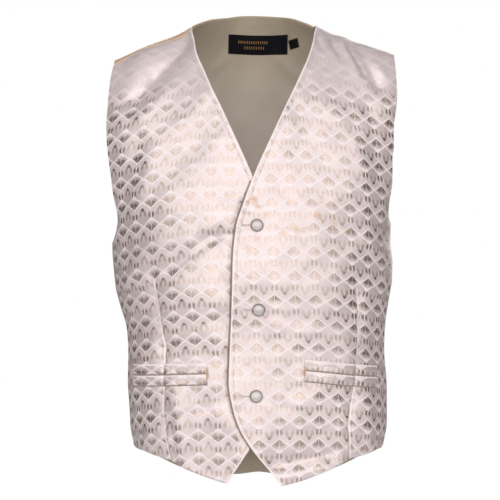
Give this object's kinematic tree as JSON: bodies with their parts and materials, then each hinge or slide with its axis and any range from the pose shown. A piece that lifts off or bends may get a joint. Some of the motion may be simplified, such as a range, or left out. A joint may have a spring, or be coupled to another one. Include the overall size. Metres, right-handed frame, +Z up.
{
  "type": "waistcoat",
  "caption": "V-neck satin waistcoat, filled out as if worn: lapped buttoned front with pointed hems, double-lip pockets, darts, plain satin back.",
  "frame": {"origin": "middle of the shoulder line, between the two points where the shoulders meet the neck", "axes": "+Z up towards the neck, -Y to the front, +X to the wearer's left"},
  "size_m": [0.3904, 0.2431, 0.642],
  "materials": {
    "front_satin": "ivory figured satin with a woven fan-scale repeat",
    "back_satin": "plain champagne satin",
    "lining": "grey beige lining satin",
    "button_cloth": "satin stretched over a dome",
    "label_weave": "woven ribbon"
  },
  "bodies": {
    "root": {"front_right": "front_satin", "front_left": "front_satin", "back": "back_satin", "back_lining": "lining", "pocket_right_upper_lip": "front_satin", "pocket_right_lower_lip": "front_satin", "pocket_left_upper_lip": "front_satin", "pocket_left_lower_lip": "front_satin", "button_top": "button_cloth", "button_middle": "button_cloth", "button_bottom": "button_cloth", "neck_label": "label_weave", "size_tab": "label_weave"}
  },
  "joints": []
}
